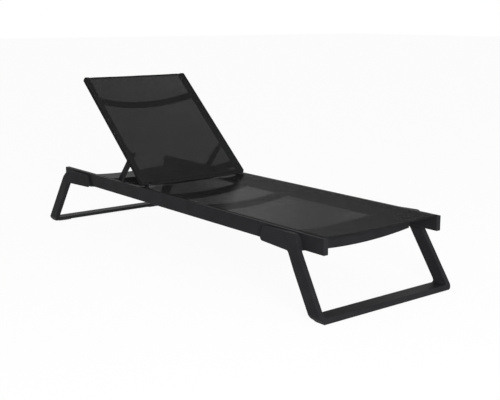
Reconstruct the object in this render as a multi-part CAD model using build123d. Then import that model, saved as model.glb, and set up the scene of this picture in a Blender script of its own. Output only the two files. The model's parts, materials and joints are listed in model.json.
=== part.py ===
from build123d import *
import math
import os

# Reclining sun lounger: two hollow side rails on two bent-bar leg frames, a mesh seat sling held in
# the rails by keder rods, and a sling backrest that hinges on the rails and leans on a swinging bail.
# Millimetres. +X runs towards the foot end, +Y to the left of a person lying on it, +Z up.
# The origin is on the floor, under the middle of the whole length.

os.makedirs("parts", exist_ok=True)

# Side rails
rail_length = 1936.0
rail_spread = 616.0          # outer face to outer face
rail_width = 22.0
rail_height = 60.0
rail_top = 300.0
rail_wall = 3.0
rail_head_wall = 12.0        # thick top wall that holds the keder channel
rail_edge_radius = 2.5
cap_flange = 4.0
cap_spigot = 24.0
fit_gap = 0.2                # slip fit of plugs and spigots in their tubes
hole_gap = 0.1               # radial room of a fastener in its hole

# Keder channel in the rail's top wall
keder_inset = 8.0            # channel centre from the rail's inner face
keder_drop = 6.0             # channel centre below the rail's top
keder_channel_radius = 3.7
keder_radius = 3.2
keder_slot = 3.0

# Leg frames: one flat bar bent into a U, with a tongue along each rail
leg_slope = 0.632            # outward run for each unit of height
leg_run = 65.0               # the bar's width, measured level
leg_thickness = 21.5
leg_splay = 0.0537           # how far the legs lean out sideways for each unit of height
pad_thickness = 2.0          # between the rail and the leg's inner face, at the rail's top
floor_bar_height = 20.5
corner_radius = 30.0
corner_inner_radius = 11.0
heel_radius = 28.0
toe_radius = 5.0
crotch_height = 229.0        # where the leg's inner edge meets the tongue's underside
crotch_radius = 14.0
tongue_tip_low = 233.0       # tongue tip's lower and upper corners, above the floor
tongue_tip_high = 293.0
tongue_tip_lean = 24.0
tongue_tip_radius = 17.0
tongue_tip_thickness = 5.0   # of the leg's own thickness, left at the tip by the tongue's taper
leg_edge_radius = 2.2
leg_overlap = 3.0            # how far the floor bar runs into the legs, twice over
pad_bite = 2.5               # how far the pads run into the tongues
leg_inset = 0.3              # the floor bar is this much slimmer than the legs
corner_ease = 0.3            # how far the corner's round stands off the faces that it joins

foot_reach = 46.0            # floor edge of the foot legs beyond the rail's foot end
foot_tongue = 348.0          # tongue tip back from the rail's foot end
foot_elbow_back = 122.0      # elbow corner back from the rail's foot end
foot_elbow_top = 298.0
foot_elbow_radius = 22.0
foot_knee_height = 235.0
foot_knee_radius = 60.0

head_reach = 144.0
head_tongue = 272.0
head_elbow_top = 291.0
head_elbow_radius = 100.0

# Glides under the ends of the floor bars
glide_height = 3.5
glide_length = 78.0
glide_width = 34.0
glide_edge_inset = 33.0      # glide's outer end from the floor bar's outer face

# Leg bolts, through the rail into inserts in the tongue
bolt_radius = 4.0
bolt_head_radius = 6.5
bolt_head_height = 5.0
bolt_inset = 70.0            # bolt from the tongue's tip
bolt_pitch = 80.0
bolt_drop = 23.0             # below the rail's top
insert_radius = 6.0
insert_length = 9.0

# Bowed crossbars between the rails
crossbar_thickness = 22.0
crossbar_height = 28.0
crossbar_bow = 25.0
crossbar_low = 221.0         # underside at mid span
mid_crossbar_forward = 88.0  # bar's centre from the rail's middle, towards the foot
hinge_crossbar_forward = 52.0  # and from the hinge axis
dowel_radius = 4.0
dowel_depth = 12.0           # how far a dowel goes into the bar
dowel_pitch = 12.0
crossbar_bevel = 2.5

# Bridges: wide bowed mouldings between the rails, open below, at the tongues of both leg frames
bridge_length = 164.0        # along the lounger
bridge_height = 41.0
bridge_bow = 18.5
bridge_low = 208.0           # underside at mid span
bridge_wall = 4.0
bridge_end_wall = 20.0       # ends, bored for the dowels
bridge_bevel = 2.5
bridge_dowel_pitch = 110.0
bridge_dowel_drop = 14.0     # below the bridge's top
foot_bridge_back = 221.0     # bridge's centre from the rail's foot end
head_bridge_back = 142.0     # and from its head end

# Hinge line of the backrest
hinge_back = 262.0           # from the rail's middle, towards the head
hinge_rise = 13.0            # hinge axis above the rail's top
hinge_pin_radius = 4.5
running_gap = 0.05           # radial clearance of a turning pin
bracket_length = 60.0
bracket_depth = 31.0         # from the rail's inner face inwards
bracket_height = 50.0
bracket_top_drop = 2.0       # block's top below the rail's top
ear_thickness = 9.0
ear_radius = 8.8
pin_head_radius = 8.0
pin_head_height = 4.0
bracket_screw_radius = 2.5
bracket_screw_pitch = 40.0
screw_head_radius = 4.5
screw_head_height = 3.0

# Backrest, drawn lying flat towards the head and then raised
back_angle = 41.0
stile_spread = 580.0         # outer face to outer face
stile_width = 25.0
stile_depth = 20.0
stile_wall = 2.5
stile_length = 676.0         # hinge axis to the top end
stile_cap = 14.0
stile_cap_radius = 6.0       # of its outer corner
stile_spigot = 26.0
knuckle_length = 26.0        # hinge axis to the tube's end
knuckle_spigot = 12.0
back_bar_width = 37.0
back_bar_thickness = 10.0
back_bar_bow = 50.0
back_bar_bevel = 1.8
lower_bar_place = 52.0       # bar's centre from the hinge axis
upper_bar_drop = 150.5       # bar's centre from the stile's top
bar_screw_radius = 1.5
bar_screw_depth = 7.0
bar_screw_pitch = 18.0
bar_screw_head_radius = 3.0

# Bail that props the backrest on the racks
prop_place = 175.0           # pivot from the hinge axis
prop_spare = 12.374          # of the bail's reach, over the pivot's height above the pins when steepest
foot_drop = 36.7             # pin's centre below the rail's top, at rest
prop_arm_width = 24.0
prop_arm_eye = 8.0           # radius of the arm's end at the pivot
prop_arm_flare = 30.0        # from the pivot to where the arm has its full width
prop_arm_thickness = 14.0
prop_pin_radius = 4.0
prop_foot_radius = 5.0       # pins at the bail's lower corners, which stand on the racks
prop_foot_depth = 12.0       # how far a pin goes into the bail's bar
prop_boss_length = 30.0
prop_boss_thickness = 7.5
prop_washer_radius = 8.0
prop_washer = 2.0
foot_end_gap = 0.5           # between the pins' ends and the racks
prop_bar_width = 24.0        # bowed bar between the arms
prop_bar_thickness = 16.0
prop_bar_bow = 30.0
prop_bar_bevel = 2.0

# Racks on the rails' inner faces
rack_thickness = 12.0
rack_below = 16.0            # from the pin's centre to the rack's underside and top
rack_above = 20.7
rack_overhang = 26.0         # beyond the first and last notch
notch_angles = (22.0, 31.0, 41.0, 52.0, 63.0)
notch_radius = 6.0
notch_slope = 5.0            # how far each notch leans back at its mouth
rack_screw_radius = 2.5
rack_screw_inset = 13.0

# Slings
sling_thickness = 1.2
sling_lift = 0.3             # above what it is stretched over
sling_tab_drop = 2.8         # how far its edge goes down the keder slot
seat_sling_start = 14.0      # its edges' head ends, in front of the hinge axis
seat_tongue = 22.0           # its head hem between the hinge brackets, behind the hinge axis
seat_tongue_gap = 4.0        # between the tongue and the brackets
seat_sling_end_gap = 6.0     # foot hem, back from the rail's foot end
seat_sag = 6.0               # at mid width
back_sling_dip = 1.5         # at mid width
back_sling_overrun = 5.0     # the wraps' lower ends past the hinge axis
back_flap = 16.0             # lower hem between the hinge pins, past the hinge axis
back_flap_gap = 4.0          # between the flap and the heads of the hinge pins
back_sling_margin = 4.0      # upper hem from the stile's top

# Places worked out from the sizes above
rail_centre = (head_reach - foot_reach) / 2
rail_head = rail_centre - rail_length / 2
rail_foot = rail_centre + rail_length / 2
rail_outer = rail_spread / 2
rail_inner = rail_outer - rail_width
rail_bottom = rail_top - rail_height
rail_mid_y = rail_outer - rail_width / 2
floor_half_width = rail_outer + pad_thickness + leg_thickness + leg_splay * rail_top
hinge_x = rail_centre - hinge_back
hinge_z = rail_top + hinge_rise
stile_outer = stile_spread / 2
stile_inner = stile_outer - stile_width
bracket_inner = rail_inner - bracket_depth
ear_outer = bracket_inner + ear_thickness
prop_arm_outer = stile_inner - prop_boss_thickness - prop_washer
prop_arm_inner = prop_arm_outer - prop_arm_thickness
rack_inner = rail_inner - rack_thickness
foot_z = rail_top - foot_drop
steepest_pivot_z = hinge_z + prop_place * math.sin(math.radians(max(notch_angles)))
prop_reach = steepest_pivot_z - foot_z + prop_spare
rack_low = foot_z - rack_below
rack_high = foot_z + rack_above
keder_y = rail_inner + keder_inset
keder_z = rail_top - keder_drop
upper_bar_place = stile_length - upper_bar_drop
seat_start = hinge_x + seat_sling_start
seat_end = rail_foot - seat_sling_end_gap
crossbar_places = {
    "mid": rail_centre + mid_crossbar_forward,
    "hinge": hinge_x + hinge_crossbar_forward,
}
bridge_places = {
    "foot": rail_foot - foot_bridge_back,
    "head": rail_head + head_bridge_back,
}
sides = {"left": 1, "right": -1}


def block(x_span, y_span, z_span):
    """A box given by its low and high values along X, Y and Z."""
    spans = [sorted(span) for span in (x_span, y_span, z_span)]
    size = [high - low for low, high in spans]
    centre = [(high + low) / 2 for low, high in spans]
    return Pos(*centre) * Box(*size)


def y_rod(x, z, radius, y_from, y_to):
    """A round rod along Y between two values of Y."""
    low, high = sorted((y_from, y_to))
    start = Plane(origin=(x, low, z), x_dir=(1, 0, 0), z_dir=(0, 1, 0))
    return extrude(start * Circle(radius), high - low)


def across(x):
    """The plane square to X at x: its own axes are Y and Z."""
    return Plane(origin=(x, 0, 0), x_dir=(0, 1, 0), z_dir=(1, 0, 0))


def group(solids):
    """Several separate solids of one node."""
    return Compound(children=[solid for item in solids for solid in item.solids()])


def save(shape, name):
    """Writes one sub-part."""
    export_step(shape, f"parts/{name}.step")


def raised(shape):
    """Turns a piece of the backrest from flat to its resting slope."""
    return shape.rotate(Axis((hinge_x, 0, hinge_z), (0, 1, 0)), back_angle)


def on_stile(distance):
    """X of a place on the flat backrest, measured from the hinge axis."""
    return hinge_x - distance


def bowed_band(x, half_span, end_z, bow, width, depth):
    """A bar across the lounger whose middle hangs lower than its ends."""
    half = depth / 2
    lower = ThreePointArc((-half_span, end_z - half), (0, end_z - half - bow), (half_span, end_z - half))
    upper = ThreePointArc((half_span, end_z + half), (0, end_z + half - bow), (-half_span, end_z + half))
    band = make_face([lower, Line(lower @ 1, upper @ 0), upper, Line(upper @ 1, lower @ 0)])
    return extrude(across(x - width / 2) * band, width)


def bowed_bar(x, half_span, end_z, bow, width, depth, bevel):
    """The same, with its long edges bevelled."""
    bar = bowed_band(x, half_span, end_z, bow, width, depth)
    return chamfer(bar.edges().filter_by(GeomType.CIRCLE), bevel)


# Bolt places, worked out before the pieces that they pass through
def tongue_bolts(end):
    """X of the two bolts in each tongue at one end."""
    if end == "foot":
        first = rail_foot - foot_tongue + bolt_inset
        return [first, first + bolt_pitch]
    first = rail_head + head_tongue - bolt_inset
    return [first, first - bolt_pitch]


bolt_places = tongue_bolts("foot") + tongue_bolts("head")
bolt_z = rail_top - bolt_drop


def dowel_places():
    """X and Z of the dowels that pin the crossbars and bridges to the rails."""
    mid_z = crossbar_low + crossbar_bow + crossbar_height / 2
    bridge_z = bridge_low + bridge_bow + bridge_height - bridge_dowel_drop
    places = []
    for x in crossbar_places.values():
        places += [(x, mid_z - dowel_pitch / 2), (x, mid_z + dowel_pitch / 2)]
    for x in bridge_places.values():
        places += [(x - bridge_dowel_pitch / 2, bridge_z), (x + bridge_dowel_pitch / 2, bridge_z)]
    return places


def bracket_screw_places():
    """X and Z of the screws that hold a hinge bracket to its rail."""
    z = rail_top - bracket_top_drop - bracket_height / 2
    return [(hinge_x - bracket_screw_pitch / 2, z), (hinge_x + bracket_screw_pitch / 2, z)]


def notch_places():
    """X of the bail's pins at each angle of the backrest, standing on the racks."""
    places = []
    for angle in notch_angles:
        slant = math.radians(prop_slant(angle))
        run = prop_place * math.cos(math.radians(angle)) + prop_reach * math.cos(slant)
        places.append(hinge_x - run)
    return places


def prop_pivot():
    """X and Z of the bail's pivot at rest."""
    slope = math.radians(back_angle)
    return hinge_x - prop_place * math.cos(slope), hinge_z + prop_place * math.sin(slope)


def prop_slant(angle):
    """How far the bail slants below level with the backrest at an angle and its pins on the racks."""
    pivot_z = hinge_z + prop_place * math.sin(math.radians(angle))
    return math.degrees(math.asin((pivot_z - foot_z) / prop_reach))


def rack_span():
    """X of the rack's two ends."""
    return min(notch_places()) - rack_overhang, max(notch_places()) + rack_overhang


def rack_screw_places():
    """X and Z of the screws that hold a rack to its rail."""
    low, high = rack_span()
    z = rack_low + rack_screw_radius * 2
    return [(low + rack_screw_inset, z), (high - rack_screw_inset, z)]


# Frame
def side_rail(side):
    """A hollow rail with the keder channel along the inner part of its top."""
    outline = fillet(Rectangle(rail_width, rail_height).vertices(), rail_edge_radius)
    cavity_height = rail_height - rail_wall - rail_head_wall
    cavity_drop = (rail_head_wall - rail_wall) / 2
    cavity = Pos(0, -cavity_drop) * Rectangle(rail_width - 2 * rail_wall, cavity_height)
    channel_y = side * (keder_inset - rail_width / 2)
    channel_z = rail_height / 2 - keder_drop
    channel = Pos(channel_y, channel_z) * Circle(keder_channel_radius)
    slot = Pos(channel_y, channel_z + keder_drop / 2) * Rectangle(keder_slot, keder_drop)
    start = Plane(
        origin=(rail_head + cap_flange, side * rail_mid_y, rail_top - rail_height / 2),
        x_dir=(0, 1, 0),
        z_dir=(1, 0, 0),
    )
    rail = extrude(start * (outline - cavity - channel - slot), rail_length - 2 * cap_flange)
    for x in bolt_places:
        rail -= y_rod(x, bolt_z, bolt_radius + hole_gap, side * rail_inner, side * rail_outer)
    inner_wall = (side * rail_inner, side * (rail_inner + rail_wall))
    for x, z in dowel_places():
        rail -= y_rod(x, z, dowel_radius + hole_gap, *inner_wall)
    for x, z in bracket_screw_places() + rack_screw_places():
        rail -= y_rod(x, z, bracket_screw_radius + hole_gap, *inner_wall)
    return rail


def rail_cap(side, end):
    """A moulded cap that closes one end of a rail, with a spigot in the tube."""
    outward = 1 if end == "foot" else -1
    face_x = rail_foot if end == "foot" else rail_head
    outline = fillet(Rectangle(rail_width, rail_height).vertices(), rail_edge_radius)
    flange_start = Plane(
        origin=(face_x, side * rail_mid_y, rail_top - rail_height / 2),
        x_dir=(0, 1, 0),
        z_dir=(-outward, 0, 0),
    )
    flange = extrude(flange_start * outline, cap_flange)
    inside = rail_wall + fit_gap
    spigot = block(
        (face_x - outward * cap_flange, face_x - outward * cap_spigot),
        (side * (rail_inner + inside), side * (rail_outer - inside)),
        (rail_bottom + inside, rail_top - rail_head_wall - fit_gap),
    )
    return flange + spigot


def leg_outline(end):
    """Side view of a leg frame: outward run from the rail's end, and height."""
    reach = foot_reach if end == "foot" else head_reach
    tip = -(foot_tongue if end == "foot" else head_tongue)
    sole = glide_height - leg_inset
    toe = reach - leg_slope * sole
    crotch = reach - leg_run - leg_slope * crotch_height
    points = [
        (toe, sole, toe_radius),
        (toe - leg_run, sole, heel_radius),
        (crotch, crotch_height, crotch_radius),
        (tip, tongue_tip_low, tongue_tip_radius),
        (tip + tongue_tip_lean, tongue_tip_high, tongue_tip_radius),
    ]
    if end == "foot":
        points.append((-foot_elbow_back, foot_elbow_top, foot_elbow_radius))
        points.append((reach - leg_slope * foot_knee_height, foot_knee_height, foot_knee_radius))
    else:
        points.append((reach - leg_slope * head_elbow_top, head_elbow_top, head_elbow_radius))
    corners = [(u, z) for u, z, _ in points]
    radii = [radius for _, _, radius in points]
    return make_face(FilletPolyline(*corners, radius=radii, close=True).edges())


def leg_face_y(z):
    """Y of a leg's outer face at a height."""
    return floor_half_width - leg_splay * z


def tongue_taper(end):
    """What is cut off a leg plate's outer side, so that its tongue thins towards the tip."""
    outer = leg_thickness - leg_overlap
    tip = -(foot_tongue if end == "foot" else head_tongue)
    start = -foot_elbow_back if end == "foot" else head_reach - leg_slope * head_elbow_top
    wedge = Polyline(
        (start, outer),
        (tip, tongue_tip_thickness - leg_overlap),
        (tip, outer),
        close=True,
    )
    return extrude(make_face(wedge.edges()), rail_top)


def rim_edges(plate):
    """The edges round a leg plate's two sides, without those inside the outline."""
    facing = math.cos(math.radians(45))
    sides_of_plate = [face for face in plate.faces() if abs(face.normal_at().Y) > facing]
    edges = [edge for face in sides_of_plate for edge in face.edges()]
    return [edge for edge in edges if sum(edge.is_same(other) for other in edges) == 1]


def leg_plate(outline, end, side):
    """One leg with its tongue: the side view as a thick plate with rounded edges, leaning inwards."""
    plate = Pos(0, leg_thickness - leg_overlap, 0) * extrude(Plane.XZ * outline, leg_thickness)
    plate -= tongue_taper(end)
    plate = fillet(rim_edges(plate), leg_edge_radius)
    lean = Rot(math.degrees(math.atan(leg_splay)), 0, 0)
    plate = Pos(0, leg_face_y(0) - leg_thickness + leg_overlap, 0) * lean * plate
    centre_z = glide_height + corner_radius - corner_ease
    centre_y = leg_face_y(centre_z) - corner_radius + corner_ease
    corner = Pos(centre_y + corner_radius, centre_z - corner_radius) * Rectangle(
        2 * corner_radius, 2 * corner_radius
    )
    corner -= Pos(centre_y, centre_z) * Circle(corner_radius)
    plate -= Pos(-rail_length / 2, 0, 0) * extrude(across(0) * corner, rail_length)
    return plate if side > 0 else mirror(plate, about=Plane.XZ)


def floor_bar(silhouette):
    """The part of the bent bar along the floor, with the inner roundings of its two bends."""
    bar_top = glide_height + floor_bar_height
    bend_y = leg_face_y(bar_top) - leg_thickness
    end_y = bend_y + 2 * leg_overlap
    lengthwise = (-rail_length / 2, rail_length / 2)
    bar = silhouette & block(lengthwise, (-end_y, end_y), (0, bar_top))
    bar = fillet(bar.edges().filter_by(Axis.Y).group_by(Axis.Z)[-1], leg_edge_radius)
    radius = corner_inner_radius
    for side in sides.values():
        web_span = (side * (bend_y - radius), side * end_y)
        web = block(lengthwise, web_span, (bar_top - radius, bar_top + radius))
        hollow = Plane(
            origin=(lengthwise[0], side * (bend_y - radius), bar_top + radius),
            x_dir=(0, 1, 0),
            z_dir=(1, 0, 0),
        )
        web -= extrude(hollow * Circle(radius), rail_length)
        bar += silhouette & web
    return bar


def slimmed(outline, inset):
    """A leg frame's side view, drawn in by an inset and as wide as the whole frame."""
    return extrude(Plane.XZ * offset(outline, amount=-inset), floor_half_width, both=True)


def pad_wedge():
    """The room between the left rail and its leaning leg, and a little way into the leg."""
    section = Polyline(
        (rail_outer, rail_bottom),
        (rail_outer, rail_top),
        (leg_face_y(rail_top) - leg_thickness + pad_bite, rail_top),
        (leg_face_y(rail_bottom) - leg_thickness + pad_bite, rail_bottom),
        close=True,
    )
    return Pos(-rail_length / 2, 0, 0) * extrude(across(0) * make_face(section.edges()), rail_length)


def leg_frame(end):
    """One bent-bar leg frame with its two tongues, bored for the bolts' inserts."""
    outline = leg_outline(end)
    frame = floor_bar(slimmed(outline, leg_inset))
    pad = slimmed(outline, leg_edge_radius + leg_inset) & pad_wedge()
    for side in sides.values():
        frame += leg_plate(outline, end, side)
        frame += pad if side > 0 else mirror(pad, about=Plane.XZ)
    place = Pos(rail_foot, 0, 0) if end == "foot" else Pos(rail_head, 0, 0) * Rot(0, 0, 180)
    frame = place * frame
    for x in tongue_bolts(end):
        for side in sides.values():
            bore_end = side * (rail_outer + insert_length)
            frame -= y_rod(x, bolt_z, insert_radius, side * rail_outer, bore_end)
    return frame


def glide(side, end):
    """A pad under one end of a floor bar."""
    sole_x = rail_foot + foot_reach - leg_slope * glide_height - leg_run / 2
    if end == "head":
        sole_x = rail_head - head_reach + leg_slope * glide_height + leg_run / 2
    outer_y = floor_half_width - glide_edge_inset
    sole = SlotOverall(glide_length, glide_width, 90)
    return Pos(sole_x, side * (outer_y - glide_length / 2), 0) * extrude(sole, glide_height)


def leg_bolts():
    """Bolts from the rails' inner faces into the tongues."""
    bolts = []
    for x in bolt_places:
        for side in sides.values():
            tip_y = side * (rail_outer + insert_length)
            seat_y = side * rail_inner
            shank = y_rod(x, bolt_z, bolt_radius, seat_y, tip_y)
            head = y_rod(x, bolt_z, bolt_head_radius, seat_y, seat_y - side * bolt_head_height)
            bolts.append(shank + head)
    return group(bolts)


def leg_inserts():
    """Threaded inserts in the tongues."""
    inserts = []
    for x in bolt_places:
        for side in sides.values():
            span = (side * rail_outer, side * (rail_outer + insert_length))
            inserts.append(y_rod(x, bolt_z, insert_radius, *span) - y_rod(x, bolt_z, bolt_radius, *span))
    return group(inserts)


def dowelled(bar, x, length):
    """Bores both ends of a bar that is centred on x for its dowels."""
    for dowel_x, z in dowel_places():
        if abs(dowel_x - x) < length / 2:
            for side in sides.values():
                bore_end = side * (rail_inner - dowel_depth)
                bar -= y_rod(dowel_x, z, dowel_radius, bore_end, side * rail_inner)
    return bar


def crossbar(x):
    """A bowed bar between the rails' inner faces."""
    bar = bowed_bar(
        x,
        rail_inner,
        crossbar_low + crossbar_bow + crossbar_height / 2,
        crossbar_bow,
        crossbar_thickness,
        crossbar_height,
        crossbar_bevel,
    )
    return dowelled(bar, x, crossbar_thickness)


def bridge(x):
    """A wide bowed moulding between the rails' inner faces, hollow and open below."""
    end_z = bridge_low + bridge_bow + bridge_height / 2
    body = bowed_bar(x, rail_inner, end_z, bridge_bow, bridge_length, bridge_height, bridge_bevel)
    hollow_length = bridge_length - 2 * bridge_wall
    hollow_z = end_z - bridge_wall
    hollow = bowed_band(x, rail_inner, hollow_z, bridge_bow, hollow_length, bridge_height)
    room = rail_inner - bridge_end_wall
    hollow &= block((x - bridge_length, x + bridge_length), (-room, room), (0, rail_top))
    return dowelled(body - hollow, x, bridge_length)


def crossbar_dowels():
    """Dowels between the ends of the crossbars and bridges and the rails' inner walls."""
    return group(
        y_rod(x, z, dowel_radius, side * (rail_inner - dowel_depth), side * (rail_inner + rail_wall))
        for x, z in dowel_places()
        for side in sides.values()
    )


def hinge_bracket(side):
    """A block on the rail's inner face, with an ear for the hinge pin."""
    top = rail_top - bracket_top_drop
    body = block(
        (hinge_x - bracket_length / 2, hinge_x + bracket_length / 2),
        (side * bracket_inner, side * rail_inner),
        (top - bracket_height, top),
    )
    ear_span = (side * bracket_inner, side * ear_outer)
    ear = y_rod(hinge_x, hinge_z, ear_radius, *ear_span)
    ear += block((hinge_x - ear_radius, hinge_x + ear_radius), ear_span, (top - ear_radius, hinge_z))
    bracket = body + ear
    bracket -= y_rod(hinge_x, hinge_z, hinge_pin_radius, *ear_span)
    for x, z in bracket_screw_places():
        bracket -= y_rod(x, z, bracket_screw_radius, side * bracket_inner, side * rail_inner)
    return bracket


def hinge_pin(side):
    """A headed pin, fixed in the bracket's ear, on which the backrest turns."""
    shank_span = (side * bracket_inner, side * (stile_outer - stile_wall))
    shank = y_rod(hinge_x, hinge_z, hinge_pin_radius, *shank_span)
    head_span = (side * (bracket_inner - pin_head_height), side * bracket_inner)
    return shank + y_rod(hinge_x, hinge_z, pin_head_radius, *head_span)


def side_screws(places, radius, seat_y):
    """Screws along Y with their heads on an inner face, into the rails' inner walls."""
    screws = []
    for x, z in places:
        for side in sides.values():
            shank = y_rod(x, z, radius, side * seat_y, side * (rail_inner + rail_wall))
            head = y_rod(x, z, screw_head_radius, side * (seat_y - screw_head_height), side * seat_y)
            screws.append(shank + head)
    return group(screws)


def rack(side):
    """A notched rail that one of the bail's pins drops into."""
    low, high = rack_span()
    span = (side * rack_inner, side * rail_inner)
    plate = block((low, high), span, (rack_low, rack_high))
    for x in notch_places():
        plate -= y_rod(x, foot_z, notch_radius, *span)
        mouth = Plane.XZ * make_face(
            Polyline(
                (x - notch_radius, foot_z),
                (x + notch_radius, foot_z),
                (x + notch_radius + notch_slope, rack_high),
                (x - notch_radius + notch_slope, rack_high),
                close=True,
            ).edges()
        )
        middle = Pos(0, side * (rack_inner + rail_inner) / 2, 0)
        plate -= middle * extrude(mouth, rack_thickness / 2, both=True)
    for x, z in rack_screw_places():
        plate -= y_rod(x, z, rack_screw_radius, *span)
    return plate


# Seat sling
def seat_sling():
    """The seat's mesh: stretched between the rails, with tabs that go down the keder slots."""
    half = sling_thickness / 2
    low = rail_top + sling_lift
    high = low + sling_thickness
    tab = rail_top - sling_tab_drop
    edge = rail_inner
    upper = ThreePointArc((-edge, high), (0, high - seat_sag), (edge, high))
    lower = ThreePointArc((edge, low), (0, low - seat_sag), (-edge, low))
    tab_corners = [
        (edge, high),
        (keder_y + half, high),
        (keder_y + half, tab),
        (keder_y - half, tab),
        (keder_y - half, low),
        (edge, low),
    ]
    other_corners = [(-y, z) for y, z in reversed(tab_corners)]
    outline = [upper, *Polyline(*tab_corners).edges(), lower, *Polyline(*other_corners).edges()]
    tongue_end = hinge_x - seat_tongue
    sheet = extrude(across(tongue_end) * make_face(outline), seat_end - tongue_end)
    tongue_edge = bracket_inner - seat_tongue_gap
    for side in sides.values():
        sheet -= block((tongue_end, seat_start), (side * tongue_edge, side * rail_outer), (tab, high))
    return sheet


def seat_keder(side):
    """The rod that locks one edge of the seat sling in its rail."""
    start = Plane(origin=(seat_start, side * keder_y, keder_z), x_dir=(0, 1, 0), z_dir=(1, 0, 0))
    return extrude(start * Circle(keder_radius), seat_end - seat_start)


# Backrest, each piece made flat and then raised
def bar_screw_places():
    """X of the screws that hold the backrest's bars, two at each end of a bar."""
    places = []
    for centre in (lower_bar_place, upper_bar_place):
        places += [on_stile(centre - bar_screw_pitch / 2), on_stile(centre + bar_screw_pitch / 2)]
    return places


def stile(side):
    """A hollow side tube of the backrest."""
    tube = block(
        (on_stile(stile_length - stile_cap), on_stile(knuckle_length)),
        (side * stile_inner, side * stile_outer),
        (hinge_z - stile_depth / 2, hinge_z + stile_depth / 2),
    )
    tube = fillet(tube.edges().filter_by(Axis.X), stile_wall)
    tube -= block(
        (on_stile(stile_length), on_stile(0)),
        (side * (stile_inner + stile_wall), side * (stile_outer - stile_wall)),
        (hinge_z - stile_depth / 2 + stile_wall, hinge_z + stile_depth / 2 - stile_wall),
    )
    inner_wall = (side * stile_inner, side * (stile_inner + stile_wall))
    for x in bar_screw_places():
        tube -= y_rod(x, hinge_z, bar_screw_radius + hole_gap, *inner_wall)
    tube -= y_rod(on_stile(prop_place), hinge_z, prop_pin_radius, *inner_wall)
    return raised(tube)


def stile_plug(side, x_span):
    """The part of a moulded end piece that fills the stile's tube."""
    inside = stile_wall + fit_gap
    return block(
        x_span,
        (side * (stile_inner + inside), side * (stile_outer - inside)),
        (hinge_z - stile_depth / 2 + inside, hinge_z + stile_depth / 2 - inside),
    )


def stile_top_cap(side):
    """The cap on a stile's top end, with its outer corner rounded."""
    top = on_stile(stile_length)
    tube_end = top + stile_cap
    flange = block(
        (top, tube_end),
        (side * stile_inner, side * stile_outer),
        (hinge_z - stile_depth / 2, hinge_z + stile_depth / 2),
    )
    flange = fillet(flange.edges().filter_by(Axis.X), stile_wall)
    radius = stile_cap_radius
    centre_y = side * (stile_outer - radius)
    corner = block(
        (top, top + radius),
        (centre_y, side * stile_outer),
        (hinge_z - stile_depth, hinge_z + stile_depth),
    )
    corner -= Pos(top + radius, centre_y, hinge_z) * Cylinder(radius, 2 * stile_depth)
    return raised(flange - corner + stile_plug(side, (tube_end, tube_end + stile_spigot)))


def hinge_knuckle(side):
    """The rounded end piece of a stile, bored for the hinge pin."""
    span = (side * stile_inner, side * stile_outer)
    body = y_rod(hinge_x, hinge_z, stile_depth / 2, *span)
    body += block(
        (on_stile(knuckle_length), hinge_x), span, (hinge_z - stile_depth / 2, hinge_z + stile_depth / 2)
    )
    body += stile_plug(side, (on_stile(knuckle_length + knuckle_spigot), on_stile(knuckle_length)))
    body -= y_rod(hinge_x, hinge_z, hinge_pin_radius + running_gap, *span)
    return raised(body)


def back_bar(place):
    """A bowed bar between the stiles, behind the sling."""
    bar = bowed_bar(
        on_stile(place),
        stile_inner,
        hinge_z,
        back_bar_bow,
        back_bar_width,
        back_bar_thickness,
        back_bar_bevel,
    )
    for x in bar_screw_places():
        if abs(x - on_stile(place)) < back_bar_width / 2:
            for side in sides.values():
                bore_end = side * (stile_inner - bar_screw_depth)
                bar -= y_rod(x, hinge_z, bar_screw_radius, bore_end, side * stile_inner)
    return raised(bar)


def back_bar_screws():
    """Screws from inside the stiles into the ends of the bars."""
    screws = []
    for x in bar_screw_places():
        for side in sides.values():
            seat = side * (stile_inner + stile_wall)
            shank = y_rod(x, hinge_z, bar_screw_radius, side * (stile_inner - bar_screw_depth), seat)
            head = y_rod(x, hinge_z, bar_screw_head_radius, seat, seat + side * screw_head_height)
            screws.append(raised(shank + head))
    return group(screws)


def prop_boss(side):
    """A boss on the stile's inner face that carries the bail's pivot pin."""
    span = (side * (stile_inner - prop_boss_thickness), side * stile_inner)
    x = on_stile(prop_place)
    boss = block(
        (x - prop_boss_length / 2, x + prop_boss_length / 2),
        span,
        (hinge_z - stile_depth / 2 + stile_wall, hinge_z + stile_depth / 2 - stile_wall),
    )
    boss = fillet(boss.edges().filter_by(Axis.Y), stile_wall)
    return raised(boss - y_rod(x, hinge_z, prop_pin_radius, *span))


def prop_pin(side):
    """The pin that a bail arm turns on, fixed in the boss and the stile."""
    x = on_stile(prop_place)
    head_end = side * (prop_arm_inner - screw_head_height)
    shank = y_rod(x, hinge_z, prop_pin_radius, head_end, side * (stile_inner + stile_wall))
    head = y_rod(x, hinge_z, prop_washer_radius, head_end, side * (prop_arm_inner - hole_gap))
    return raised(shank + head)


def prop_washers():
    """Washers between the bail's arms and the bosses."""
    washers = []
    for side in sides.values():
        span = (side * (prop_arm_outer + hole_gap), side * (prop_arm_outer + prop_washer))
        washer = y_rod(on_stile(prop_place), hinge_z, prop_washer_radius, *span)
        washer -= y_rod(on_stile(prop_place), hinge_z, prop_pin_radius, *span)
        washers.append(raised(washer))
    return group(washers)


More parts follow.
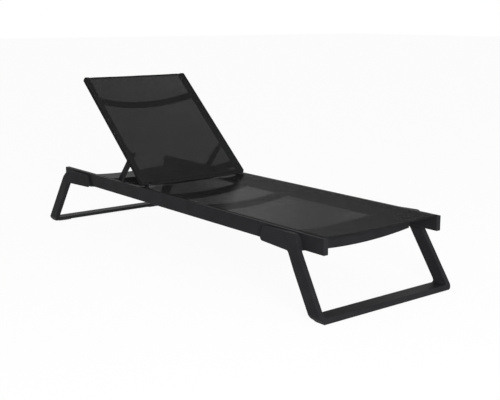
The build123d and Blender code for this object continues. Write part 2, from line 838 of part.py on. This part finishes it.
def back_sling():
    """The backrest's mesh: a dished sheet that wraps round the outside of both stiles."""
    top = hinge_z + stile_depth / 2 + sling_lift
    bottom = hinge_z - stile_depth / 2 - sling_lift
    side_y = stile_outer + sling_lift
    skin = sling_thickness
    dip_edge = stile_inner
    front = ThreePointArc((-dip_edge, top + skin), (0, top + skin - back_sling_dip), (dip_edge, top + skin))
    behind = ThreePointArc((dip_edge, top), (0, top - back_sling_dip), (-dip_edge, top))
    wrap = [
        (dip_edge, top + skin),
        (side_y + skin, top + skin),
        (side_y + skin, bottom - skin),
        (dip_edge, bottom - skin),
        (dip_edge, bottom),
        (side_y, bottom),
        (side_y, top),
        (dip_edge, top),
    ]
    left_wrap = [(-y, z) for y, z in reversed(wrap)]
    outline = [front, *Polyline(*wrap).edges(), behind, *Polyline(*left_wrap).edges()]
    upper_end = stile_length - back_sling_margin
    sheet = extrude(across(on_stile(upper_end)) * make_face(outline), upper_end + back_flap)
    flap_edge = bracket_inner - pin_head_height - back_flap_gap
    beside_flap = (on_stile(-back_sling_overrun), on_stile(-back_flap))
    for side in sides.values():
        sheet -= block(beside_flap, (side * flap_edge, side * rail_outer), (bottom - skin, top + skin))
    return raised(sheet)


# Bail, made level towards the head and then swung down about its pivot
def swung(shape):
    """Turns a piece of the bail from level to its resting slant."""
    x, z = prop_pivot()
    return shape.rotate(Axis((x, 0, z), (0, 1, 0)), -prop_slant(back_angle))


def prop_arm(side):
    """One flat arm of the bail, narrower at its pivot, bored for its pivot pin and its foot pin."""
    x, z = prop_pivot()
    foot_x = x - prop_reach
    span = (side * prop_arm_inner, side * prop_arm_outer)
    half = prop_arm_width / 2
    flank = [
        (x, prop_arm_eye),
        (x - prop_arm_flare, half),
        (foot_x, half),
    ]
    corners = [(u, z + w) for u, w in flank] + [(u, z - w) for u, w in reversed(flank)]
    side_view = Plane.XZ * make_face(Polyline(*corners, close=True).edges())
    arm = Pos(0, sum(span) / 2, 0) * extrude(side_view, prop_arm_thickness / 2, both=True)
    arm += y_rod(x, z, prop_arm_eye, *span)
    arm += y_rod(foot_x, z, half, *span)
    arm -= y_rod(x, z, prop_pin_radius + running_gap, *span)
    arm -= y_rod(foot_x, z, prop_foot_radius, *span)
    return swung(arm)


def prop_crossbar():
    """The bail's bowed bar, between the lower ends of its arms."""
    x, z = prop_pivot()
    foot_x = x - prop_reach
    end = prop_arm_inner
    half = prop_bar_width / 2
    far = ThreePointArc((foot_x - half, -end), (foot_x - half - prop_bar_bow, 0), (foot_x - half, end))
    near = ThreePointArc((foot_x + half, end), (foot_x + half - prop_bar_bow, 0), (foot_x + half, -end))
    band = make_face([far, Line(far @ 1, near @ 0), near, Line(near @ 1, far @ 0)])
    bar = Pos(0, 0, z) * extrude(band, prop_bar_thickness / 2, both=True)
    bar = chamfer(bar.edges().filter_by(GeomType.CIRCLE), prop_bar_bevel)
    for side in sides.values():
        bar -= y_rod(foot_x, z, prop_foot_radius, side * (end - prop_foot_depth), side * end)
    return swung(bar)


def prop_foot(side):
    """The pin through one arm into the bail's bar, whose outer end stands on a rack."""
    x, z = prop_pivot()
    span = (side * (prop_arm_inner - prop_foot_depth), side * (rack_inner - foot_end_gap))
    return swung(y_rod(x - prop_reach, z, prop_foot_radius, *span))


for side_name, side_sign in sides.items():
    save(side_rail(side_sign), f"{side_name}_side_rail")
    save(hinge_bracket(side_sign), f"{side_name}_hinge_bracket")
    save(hinge_pin(side_sign), f"{side_name}_hinge_pin")
    save(rack(side_sign), f"{side_name}_rack")
    save(seat_keder(side_sign), f"{side_name}_seat_keder")
    save(stile(side_sign), f"{side_name}_back_stile")
    save(stile_top_cap(side_sign), f"{side_name}_stile_cap")
    save(hinge_knuckle(side_sign), f"{side_name}_hinge_knuckle")
    save(prop_boss(side_sign), f"{side_name}_prop_boss")
    save(prop_pin(side_sign), f"{side_name}_prop_pin")
    save(prop_arm(side_sign), f"{side_name}_prop_arm")
    save(prop_foot(side_sign), f"{side_name}_prop_foot")
    for end_name in ("head", "foot"):
        save(rail_cap(side_sign, end_name), f"{end_name}_{side_name}_rail_cap")
        save(glide(side_sign, end_name), f"{end_name}_{side_name}_glide")

for end_name in ("head", "foot"):
    save(leg_frame(end_name), f"{end_name}_leg_frame")

for bar_name, bar_x in crossbar_places.items():
    save(crossbar(bar_x), f"{bar_name}_crossbar")

for bridge_name, bridge_x in bridge_places.items():
    save(bridge(bridge_x), f"{bridge_name}_bridge")

save(leg_bolts(), "leg_bolts")
save(leg_inserts(), "leg_inserts")
save(crossbar_dowels(), "crossbar_dowels")
save(side_screws(bracket_screw_places(), bracket_screw_radius, bracket_inner), "hinge_bracket_screws")
save(side_screws(rack_screw_places(), rack_screw_radius, rack_inner), "rack_screws")
save(seat_sling(), "seat_sling")
save(back_bar(lower_bar_place), "lower_back_bar")
save(back_bar(upper_bar_place), "upper_back_bar")
save(back_bar_screws(), "back_bar_screws")
save(prop_washers(), "prop_washers")
save(back_sling(), "back_sling")
save(prop_crossbar(), "prop_crossbar")
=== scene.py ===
import json
import math

import bpy
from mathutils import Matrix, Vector


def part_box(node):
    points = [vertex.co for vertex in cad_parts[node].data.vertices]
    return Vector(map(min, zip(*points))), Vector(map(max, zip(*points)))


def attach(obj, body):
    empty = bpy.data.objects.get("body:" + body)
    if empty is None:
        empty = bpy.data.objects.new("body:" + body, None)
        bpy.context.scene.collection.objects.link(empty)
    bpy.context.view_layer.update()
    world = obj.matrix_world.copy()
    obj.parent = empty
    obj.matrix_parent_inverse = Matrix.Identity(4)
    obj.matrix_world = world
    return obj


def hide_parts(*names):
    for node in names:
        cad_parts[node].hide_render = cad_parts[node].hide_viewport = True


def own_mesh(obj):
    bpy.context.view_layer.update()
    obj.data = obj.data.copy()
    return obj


# Reclining sun lounger: the CAD frame with moulded and coated finishes, and its two mesh slings.
# Metres, in the CAD model's own frame.

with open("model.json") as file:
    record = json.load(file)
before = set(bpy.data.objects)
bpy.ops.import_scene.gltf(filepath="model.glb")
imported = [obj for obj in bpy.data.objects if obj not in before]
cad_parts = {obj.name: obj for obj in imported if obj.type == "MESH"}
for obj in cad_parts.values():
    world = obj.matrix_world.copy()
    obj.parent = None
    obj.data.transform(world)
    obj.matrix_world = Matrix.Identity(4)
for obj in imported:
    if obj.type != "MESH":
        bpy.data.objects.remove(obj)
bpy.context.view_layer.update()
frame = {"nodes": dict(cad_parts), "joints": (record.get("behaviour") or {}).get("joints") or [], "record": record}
nodes = frame["nodes"]

# Camera, solved from the photograph's straight edges
camera_place = Vector((3.1965, -2.3499, 1.0509))
camera_azimuth = math.radians(51.752)
camera_pitch = math.radians(11.623)
camera_lens = 63.99
sensor_width = 36.0

# Cloth
skin = 0.0012                 # thickness of the mesh
fold_radius = 0.0008          # of a flat hem's fold
lift = 0.0003                 # between the mesh and what it is stretched over
return_steps = 4              # rows in a hem's folded part

# Seat sling
seat_sag = 0.006              # at mid width
seat_sling_start = 0.014      # the edges' head ends, in front of the hinge axis
keder_inset = 0.008           # keder slot's centre from the rail's inner face
tab_depth = 0.004
tab_bend_share = 0.3          # of the bend into the slot, where its middle point lies
seat_return = 0.024           # folded hems
seat_seam_share = 0.8         # of a folded hem's depth, where its seam runs
seat_tongue = 0.022           # head hem, behind the hinge axis
tongue_half_span = 0.250      # clear of the hinge brackets
seam_inset = 0.009            # side seam from the rail's inner face
seat_rows = 120
seat_columns = 72
tongue_steps = 6
seat_fold_steps = 6

# Backrest sling
rest_angle = 41.0             # degrees above level, as in the photograph
back_start = -0.005           # the wraps' lower ends, past the hinge axis
back_flap = -0.023            # lower hem's edge between the hinge pins
back_end = 0.672              # upper hem
back_dip = 0.0015             # at mid width
stile_inner = 0.265
stile_outer = 0.290
stile_half_depth = 0.010
stile_corner = 0.0025
roll_radius = 0.002           # of the lower hem
hem_half_span = 0.247         # hems end clear of the hinge pins' heads
lower_return = 0.026
upper_return = 0.009
lower_seam_share = 0.9        # of a hem's depth, where its seam runs
upper_seam_share = 0.7
wave_height = 0.0004          # slack ripple of the free upper hem
wave_length = 0.21
wave_shift = 0.6              # radians
fine_wave_share = 0.5         # a second ripple's height and length, as shares of the first
fine_wave_ratio = 0.43
wave_reach = 0.11             # down from the upper hem
back_rows = 90
back_columns = 72
flap_steps = 4
back_fold_steps = 8
corner_steps = 5

# Light
world_grey = 0.5
floor_grey = 0.9
floor_roughness = 0.9
floor_reach = 40.0
floor_glow = 0.94             # the share of plain white in the floor, as the camera sees it
key_place = (5.0, -2.2, 1.4)
key_target = (0, 0, 0.3)
key_size = (1.6, 1.2)
key_power = 340.0

# Stitches
stitch_length = 0.0036
stitch_gap = 0.0016
stitch_radius = 0.0004
stitch_sides = 5
stitch_rings = ((0.0, 0.35), (0.25, 1.0), (0.75, 1.0), (1.0, 0.35))   # shares of length and of radius
stitch_rise = 0.3             # of a stitch's radius, its axis above the mesh

# Finishes
mottle_scale = 14.0           # broad change of tone on moulded and coated surfaces
broad_detail = 3.0            # octaves of the broad and of the fine noise
grain_detail = 2.0
grain_depth = 0.0002
grain_strength = 0.25
noise_low = 0.3               # most of a noise texture's values lie between these
noise_high = 0.7
weave_pitch = 0.0016
weave_depth = 0.0004
weave_strength = 0.08
weave_shade_share = 0.7             # of the mesh's tone, the painted shade of the weave's dips, the rest being slow clouds
cloud_scale = 6.0
mesh_roughness = 0.12
mesh_specular = 0.0021
mix_first, mix_second, mix_result = 6, 7, 2   # a Mix node's colour sockets

rail_low, rail_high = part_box("left_side_rail")
rail_inner = rail_low.y
rail_top = rail_high.z
seat_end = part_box("seat_sling")[1].x
seat_mid_z = rail_top + lift + skin / 2
keder_y = rail_inner + keder_inset
recline = next(joint for joint in frame["joints"] if joint["name"] == "backrest_recline")
hinge = Vector(recline["pos_m"])
back_angle = math.radians(rest_angle)
seat_start = hinge.x + seat_sling_start
along_back = Vector((-math.cos(back_angle), 0, math.sin(back_angle)))
out_of_back = Vector((math.sin(back_angle), 0, math.cos(back_angle)))


def smooth(value):
    """Eases a share from 0 to 1."""
    value = min(max(value, 0.0), 1.0)
    return value * value * (3 - 2 * value)


def spaced(low, high, count):
    """Evenly spaced values, both ends included."""
    return [low + (high - low) * step / count for step in range(count + 1)]


def run_up(start, edge, steps):
    """Places from a main sheet's end to its hem's edge, or none where the two meet."""
    return [] if start == edge else spaced(start, edge, steps)[:-1]


# Materials
class Nodes:
    """A material and short calls that add linked nodes to it."""

    def __init__(self, name):
        self.material = bpy.data.materials.new(name)
        self.material.use_nodes = True
        self.tree = self.material.node_tree
        self.shader = self.tree.nodes["Principled BSDF"]

    def add(self, kind, **settings):
        node = self.tree.nodes.new(kind)
        for key, value in settings.items():
            setattr(node, key, value)
        return node

    def link(self, source, target):
        self.tree.links.new(source, target)

    def feed(self, socket, value):
        """Links a socket to another, or sets its value."""
        if isinstance(value, bpy.types.NodeSocket):
            self.link(value, socket)
        else:
            socket.default_value = value

    def math(self, operation, *values):
        node = self.add("ShaderNodeMath", operation=operation)
        for socket, value in zip(node.inputs, values):
            self.feed(socket, value)
        return node.outputs[0]

    def noise(self, coordinates, scale, detail):
        node = self.add("ShaderNodeTexNoise")
        self.link(coordinates, node.inputs["Vector"])
        node.inputs["Scale"].default_value = scale
        node.inputs["Detail"].default_value = detail
        return node.outputs["Fac"]

    def spread(self, value, low, high):
        """Maps a texture's middle range to low and high."""
        node = self.add("ShaderNodeMapRange")
        self.link(value, node.inputs["Value"])
        node.inputs["From Min"].default_value = noise_low
        node.inputs["From Max"].default_value = noise_high
        node.inputs["To Min"].default_value = low
        node.inputs["To Max"].default_value = high
        return node.outputs["Result"]

    def tint(self, value, dark, light):
        """A colour between two, by a value."""
        node = self.add("ShaderNodeMix", data_type="RGBA")
        self.link(value, node.inputs["Factor"])
        node.inputs[mix_first].default_value = (*dark, 1)
        node.inputs[mix_second].default_value = (*light, 1)
        return node.outputs[mix_result]

    def bump(self, height, depth, strength):
        node = self.add("ShaderNodeBump")
        self.link(height, node.inputs["Height"])
        node.inputs["Distance"].default_value = depth
        node.inputs["Strength"].default_value = strength
        self.link(node.outputs["Normal"], self.shader.inputs["Normal"])


def grained(name, dark, light, grain, rough, specular, metallic=0.0):
    """A moulded or coated surface: mottled colour, uneven sheen and a fine raised grain."""
    made = Nodes(name)
    place = made.add("ShaderNodeTexCoord").outputs["Object"]
    mottle = made.noise(place, mottle_scale, broad_detail)
    fine = made.noise(place, grain, grain_detail)
    made.link(made.tint(made.spread(mottle, 0.0, 1.0), dark, light), made.shader.inputs["Base Color"])
    made.link(made.spread(fine, *rough), made.shader.inputs["Roughness"])
    made.bump(fine, grain_depth, grain_strength)
    made.shader.inputs["Specular IOR Level"].default_value = specular
    made.shader.inputs["Metallic"].default_value = metallic
    return made.material


def woven(name, dark, light):
    """Coated yarn in a plain weave: ribs both ways, over and under, with light through the gaps. Its colour holds
    painted shade: darker where the yarn dips under a crossing.
    """
    made = Nodes(name)
    uv = made.add("ShaderNodeUVMap", uv_map="weave")
    parts = made.add("ShaderNodeSeparateXYZ")
    made.link(uv.outputs["UV"], parts.inputs[0])
    turns = math.pi / weave_pitch
    warp = made.math("SINE", made.math("MULTIPLY", parts.outputs["X"], turns))
    weft = made.math("SINE", made.math("MULTIPLY", parts.outputs["Y"], turns))
    over = made.math("MULTIPLY", warp, weft)
    warp_rib = made.math("ABSOLUTE", warp)
    weft_rib = made.math("ABSOLUTE", weft)
    lifted = made.math("MULTIPLY_ADD", over, 0.5, 0.5)   # from -1 to 1 into 0 to 1
    rib = made.math("MAXIMUM", warp_rib, weft_rib)
    height = made.math("MULTIPLY", rib, lifted)
    place = made.add("ShaderNodeTexCoord").outputs["Object"]
    cloudy = made.noise(place, cloud_scale, broad_detail)
    # Painted shade: the yarn's tone darker where it dips under a crossing and lighter on its raised crossings
    weave_dip_shade = made.math("MULTIPLY", height, weave_shade_share)
    cloud_tone = made.math("MULTIPLY", cloudy, 1 - weave_shade_share)
    weave_shade_and_clouds = made.math("ADD", weave_dip_shade, cloud_tone)
    made.link(made.tint(weave_shade_and_clouds, dark, light), made.shader.inputs["Base Color"])
    made.link(rib, made.shader.inputs["Alpha"])
    made.bump(height, weave_depth, weave_strength)
    made.shader.inputs["Roughness"].default_value = mesh_roughness
    made.shader.inputs["Specular IOR Level"].default_value = mesh_specular
    return made.material


resin = grained(
    "moulded_resin",
    dark=(0.0118, 0.0118, 0.013),
    light=(0.0158, 0.0158, 0.0174),
    grain=900.0,
    rough=(0.4, 0.55),
    specular=0.04,
)
coated = grained(
    "coated_metal",
    dark=(0.0128, 0.0128, 0.014),
    light=(0.016, 0.016, 0.0175),
    grain=1500.0,
    rough=(0.36, 0.48),
    specular=0.04,
)
steel = grained(
    "stainless_steel",
    dark=(0.42, 0.42, 0.43),
    light=(0.55, 0.55, 0.56),
    grain=700.0,
    rough=(0.25, 0.4),
    specular=0.5,
    metallic=1.0,
)
rubber = grained(
    "glide_rubber",
    dark=(0.008, 0.008, 0.008),
    light=(0.012, 0.012, 0.012),
    grain=600.0,
    rough=(0.7, 0.9),
    specular=0.2,
)
brass = grained(
    "insert_brass",
    dark=(0.45, 0.32, 0.13),
    light=(0.55, 0.4, 0.17),
    grain=700.0,
    rough=(0.3, 0.45),
    specular=0.5,
    metallic=1.0,
)
# dark is the painted shade in the weave's dips and the darker clouds, light the raised yarn
mesh_cloth = woven("sling_mesh", dark=(0.0093, 0.0093, 0.0095), light=(0.026, 0.026, 0.0263))
thread = grained(
    "sewing_thread",
    dark=(0.02, 0.02, 0.021),
    light=(0.03, 0.03, 0.031),
    grain=2500.0,
    rough=(0.6, 0.8),
    specular=0.2,
)

finishes = {
    "resin": resin,
    "coated_metal": coated,
    "steel": steel,
    "rubber": rubber,
    "brass": brass,
    "mesh": mesh_cloth,
}
for subpart in frame["record"]["subparts"]:
    cad_mesh = nodes[subpart["node"]].data
    cad_mesh.materials.clear()
    cad_mesh.materials.append(finishes[subpart["material_slot"]])
for pin in ("left_hinge_pin", "right_hinge_pin"):
    nodes[pin].data.materials[0] = coated


# Cloth pieces
def piece(name, points, faces, body, material, uvs=None, thickness=None):
    """A mesh object that rides on a body."""
    mesh = bpy.data.meshes.new(name)
    mesh.from_pydata([tuple(point) for point in points], [], faces)
    mesh.materials.append(material)
    if uvs:
        layer = mesh.uv_layers.new(name="weave")
        for loop in mesh.loops:
            layer.data[loop.index].uv = uvs[loop.vertex_index]
    mesh.polygons.foreach_set("use_smooth", [True] * len(mesh.polygons))
    made = bpy.data.objects.new(name, mesh)
    bpy.context.scene.collection.objects.link(made)
    if thickness:
        solid = made.modifiers.new("thickness", "SOLIDIFY")
        solid.thickness = thickness
        solid.offset = 0.0
    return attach(made, body)


def cloth(name, rows, body):
    """A sheet through rows of points, with its weave measured along and across it."""
    width = len(rows[0])
    points = []
    uvs = []
    run = 0.0
    middle = width // 2
    for index, row in enumerate(rows):
        if index:
            run += (row[middle] - rows[index - 1][middle]).length
        across = 0.0
        for column, point in enumerate(row):
            if column:
                across += (point - row[column - 1]).length
            points.append(point)
            uvs.append((across, run))
    faces = []
    for index in range(len(rows) - 1):
        for column in range(width - 1):
            corner = index * width + column
            faces.append((corner, corner + 1, corner + width + 1, corner + width))
    made = piece(name, points, faces, body, mesh_cloth, uvs, skin)
    return made


def stitches(name, lines, body):
    """Rows of short sewn stitches along lines of points."""
    last_ring = len(stitch_rings) - 1
    points = []
    faces = []
    for line in lines:
        left = stitch_gap
        for a, b in zip(line, line[1:]):
            step = b - a
            if step.length == 0:
                continue
            direction = step.normalized()
            side = direction.orthogonal().normalized()
            other = direction.cross(side)
            reach = left
            while reach + stitch_length <= step.length:
                base = len(points)
                for share, size in stitch_rings:
                    centre = a + direction * (reach + share * stitch_length)
                    for turn in range(stitch_sides):
                        angle = math.tau * turn / stitch_sides
                        outward = side * math.cos(angle) + other * math.sin(angle)
                        points.append(centre + outward * stitch_radius * size)
                for ring in range(last_ring):
                    for turn in range(stitch_sides):
                        low = base + ring * stitch_sides
                        after = (turn + 1) % stitch_sides
                        faces.append(
                            (low + turn, low + after, low + stitch_sides + after, low + stitch_sides + turn)
                        )
                faces.append(tuple(base + turn for turn in reversed(range(stitch_sides))))
                far_end = base + last_ring * stitch_sides
                faces.append(tuple(far_end + turn for turn in range(stitch_sides)))
                reach += stitch_length + stitch_gap
            left = max(reach - step.length, 0.0)
    return piece(name, points, faces, body, thread)


# Seat sling
def seat_height(y):
    """The mesh's middle height: level at the rails, sagging a little between them."""
    inward = min(abs(y) / rail_inner, 1.0)
    return seat_mid_z - seat_sag * (1 - inward ** 2)


def seat_row(x, half_width, drop=0.0):
    return [Vector((x, y, seat_height(y) - drop)) for y in spaced(-half_width, half_width, seat_columns)]


def with_tabs(row):
    """Adds the edges that go down the two keder slots."""
    x = row[0].x
    bend = skin
    middle = bend * tab_bend_share
    right = [
        Vector((x, keder_y - bend, seat_mid_z)),
        Vector((x, keder_y - middle, seat_mid_z - middle)),
        Vector((x, keder_y, seat_mid_z - bend)),
        Vector((x, keder_y, seat_mid_z - tab_depth)),
    ]
    left = [Vector((x, -point.y, point.z)) for point in reversed(right)]
    return left + row + right


def seat_hem(name, start, edge, inward, half_width):
    """The mesh from the main sheet's end to a hem folded flat under it."""
    rows = [seat_row(x, half_width) for x in run_up(start, edge, tongue_steps)]
    for turn in spaced(0.0, math.pi, seat_fold_steps):
        x = edge - inward * fold_radius * math.sin(turn)
        rows.append(seat_row(x, half_width, fold_radius * (1 - math.cos(turn))))
    for x in spaced(edge, edge + inward * seat_return, return_steps)[1:]:
        rows.append(seat_row(x, half_width, 2 * fold_radius))
    return cloth(name, rows, "frame")


seat_grid = [with_tabs(seat_row(x, rail_inner)) for x in spaced(seat_start, seat_end, seat_rows)]
seat_sling = cloth("seat_sling_mesh", seat_grid, "frame")
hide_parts("seat_sling")
seat_hems = [
    seat_hem("seat_foot_hem", seat_end, seat_end, -1, rail_inner - skin),
    seat_hem("seat_head_hem", seat_start, hinge.x - seat_tongue, 1, tongue_half_span),
]

stitch_lift = skin / 2 + stitch_radius * stitch_rise
seam_y = rail_inner - seam_inset


def on_seat(x, y):
    return Vector((x, y, seat_height(y) + stitch_lift))


seam_x = spaced(seat_start + skin, seat_end - skin, seat_rows)
across_y = spaced(-seam_y, seam_y, seat_columns)
seat_lines = [[on_seat(x, side * seam_y) for x in seam_x] for side in (1, -1)]
hem_seam = seat_return * seat_seam_share
seat_lines.append([on_seat(seat_end - hem_seam, y) for y in across_y])
tongue_y = spaced(-tongue_half_span, tongue_half_span, seat_columns)
seat_lines.append([on_seat(hinge.x - seat_tongue + hem_seam, y) for y in tongue_y])
seat_stitches = stitches("seat_stitching", seat_lines, "frame")


# Backrest sling
def on_back(distance, y, out):
    """A point on the backrest: up from the hinge axis, across, and out of its front."""
    return hinge + along_back * distance + out_of_back * out + Vector((0, y, 0))


front_out = stile_half_depth + lift + skin / 2
corner_y = stile_outer - stile_corner
corner_out = stile_half_depth - stile_corner
wrap_radius = stile_corner + lift + skin / 2


def back_out(distance, y):
    """How far the mesh stands out of the stiles' middle plane."""
    inward = min(abs(y) / stile_inner, 1.0)
    loose = 1 - inward ** 2
    ripple = math.sin(math.tau * y / wave_length + wave_shift)
    ripple += fine_wave_share * math.sin(math.tau * y / (wave_length * fine_wave_ratio))
    near_top = smooth((distance - back_end + wave_reach) / wave_reach)
    return front_out - back_dip * loose + wave_height * ripple * loose * near_top


def sleeve_edge(distance):
    """The mesh from a stile's front round its outer side to its back, for the left stile."""
    edge = []
    for turn in spaced(0.0, math.pi / 2, corner_steps):
        edge.append((corner_y + wrap_radius * math.sin(turn), corner_out + wrap_radius * math.cos(turn)))
    for turn in spaced(math.pi / 2, math.pi, corner_steps):
        edge.append((corner_y + wrap_radius * math.sin(turn), -corner_out + wrap_radius * math.cos(turn)))
    edge.append(((corner_y + stile_inner) / 2, -corner_out - wrap_radius))
    edge.append((stile_inner, -corner_out - wrap_radius))
    return [on_back(distance, y, out) for y, out in edge]


def mirrored(points):
    return [Vector((point.x, -point.y, point.z)) for point in reversed(points)]


def back_row(distance, half_width, drop=0.0):
    return [
        on_back(distance, y, back_out(distance, y) - drop)
        for y in spaced(-half_width, half_width, back_columns)
    ]


back_grid = []
for distance in spaced(back_start, back_end, back_rows):
    sleeve = sleeve_edge(distance)
    middle = back_row(distance, stile_inner)
    back_grid.append(mirrored(sleeve) + middle + sleeve)
back_sling = cloth("back_sling_mesh", back_grid, "backrest")
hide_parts("back_sling")


def back_hem(name, start, edge, inward, radius, depth):
    """The mesh from the main sheet's end to a hem folded behind it."""
    rows = [back_row(distance, hem_half_span) for distance in run_up(start, edge, flap_steps)]
    for turn in spaced(0.0, math.pi, back_fold_steps):
        row = back_row(edge, hem_half_span, radius * (1 - math.cos(turn)))
        rows.append([point - along_back * inward * radius * math.sin(turn) for point in row])
    for share in spaced(0.0, 1.0, return_steps)[1:]:
        drop = 2 * radius + (2 * fold_radius - 2 * radius) * share
        rows.append(back_row(edge + inward * depth * share, hem_half_span, drop))
    return cloth(name, rows, "backrest")


back_hems = [
    back_hem("back_upper_hem", back_end, back_end, -1, fold_radius, upper_return),
    back_hem("back_lower_hem", back_start, back_flap + roll_radius, 1, roll_radius, lower_return),
]
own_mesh(back_hems[1])


def on_back_face(distance, y):
    return on_back(distance, y, back_out(distance, y) + stitch_lift)


back_seam_y = stile_inner - seam_inset
seam_run = spaced(back_start + skin, back_end - skin, back_rows)
back_across = spaced(-hem_half_span, hem_half_span, back_columns)
back_lines = [[on_back_face(distance, side * back_seam_y) for distance in seam_run] for side in (1, -1)]
lower_seam = back_flap + lower_return * lower_seam_share
upper_seam = back_end - upper_return * upper_seam_share
for distance in (lower_seam, upper_seam):
    back_lines.append([on_back_face(distance, y) for y in back_across])
back_stitches = stitches("back_stitching", back_lines, "backrest")


# Stage
def plain_floor():
    """A wide pale floor that keeps the object's shadow and is white to the camera."""
    mesh = bpy.data.meshes.new("floor")
    signs = ((-1, -1), (1, -1), (1, 1), (-1, 1))
    corners = [(x * floor_reach, y * floor_reach, 0) for x, y in signs]
    mesh.from_pydata(corners, [], [tuple(range(len(corners)))])
    made = Nodes("pale_floor")
    made.shader.inputs["Base Color"].default_value = (floor_grey, floor_grey, floor_grey, 1)
    made.shader.inputs["Roughness"].default_value = floor_roughness
    made.shader.inputs["Specular IOR Level"].default_value = 0.0
    glow = made.add("ShaderNodeEmission")
    blend = made.add("ShaderNodeMixShader")
    path = made.add("ShaderNodeLightPath").outputs
    direct = made.math("MAXIMUM", path["Is Camera Ray"], path["Is Transmission Ray"])
    seen = made.math("MAXIMUM", direct, path["Is Glossy Ray"])
    made.link(made.math("MULTIPLY", seen, floor_glow), blend.inputs[0])
    made.link(made.shader.outputs["BSDF"], blend.inputs[1])
    made.link(glow.outputs["Emission"], blend.inputs[2])
    made.link(blend.outputs["Shader"], made.tree.nodes["Material Output"].inputs["Surface"])
    mesh.materials.append(made.material)
    floor = bpy.data.objects.new("floor", mesh)
    bpy.context.scene.collection.objects.link(floor)


def studio_light(name, place, target, size, power):
    """A large soft lamp, with no mirror image of itself in the slings' sheen."""
    lamp = bpy.data.lights.new(name, "AREA")
    lamp.shape = "RECTANGLE"
    lamp.size, lamp.size_y = size
    lamp.energy = power
    made = bpy.data.objects.new(name, lamp)
    made.location = place
    made.rotation_mode = "QUATERNION"
    made.rotation_quaternion = (Vector(target) - Vector(place)).to_track_quat("-Z", "Y")
    made.visible_glossy = False
    bpy.context.scene.collection.objects.link(made)


def studio_world():
    """Even light all round, and a white background."""
    world = bpy.data.worlds.new("studio")
    world.use_nodes = True
    bpy.context.scene.world = world
    tree = world.node_tree
    background = tree.nodes["Background"]
    path = tree.nodes.new("ShaderNodeLightPath")
    white = tree.nodes.new("ShaderNodeBackground")
    background.inputs["Color"].default_value = (world_grey, world_grey, world_grey, 1)
    white.inputs["Color"].default_value = (1, 1, 1, 1)
    blend = tree.nodes.new("ShaderNodeMixShader")
    seen = path.outputs["Is Camera Ray"]
    for ray in ("Is Transmission Ray", "Is Glossy Ray"):
        either = tree.nodes.new("ShaderNodeMath")
        either.operation = "MAXIMUM"
        tree.links.new(seen, either.inputs[0])
        tree.links.new(path.outputs[ray], either.inputs[1])
        seen = either.outputs[0]
    tree.links.new(seen, blend.inputs[0])
    tree.links.new(background.outputs[0], blend.inputs[1])
    tree.links.new(white.outputs[0], blend.inputs[2])
    tree.links.new(blend.outputs[0], tree.nodes["World Output"].inputs["Surface"])


def photo_camera():
    """The camera at the photograph's place and angle."""
    data = bpy.data.cameras.new("camera")
    data.sensor_width = sensor_width
    data.lens = camera_lens
    camera = bpy.data.objects.new("camera", data)
    forward = Vector(
        (
            -math.sin(camera_azimuth) * math.cos(camera_pitch),
            math.cos(camera_azimuth) * math.cos(camera_pitch),
            -math.sin(camera_pitch),
        )
    )
    camera.location = camera_place
    camera.rotation_mode = "QUATERNION"
    camera.rotation_quaternion = forward.to_track_quat("-Z", "Y")
    bpy.context.scene.collection.objects.link(camera)
    bpy.context.scene.camera = camera


plain_floor()
studio_world()
studio_light("key", key_place, key_target, key_size, key_power)
photo_camera()
bpy.context.scene.view_settings.view_transform = "Standard"
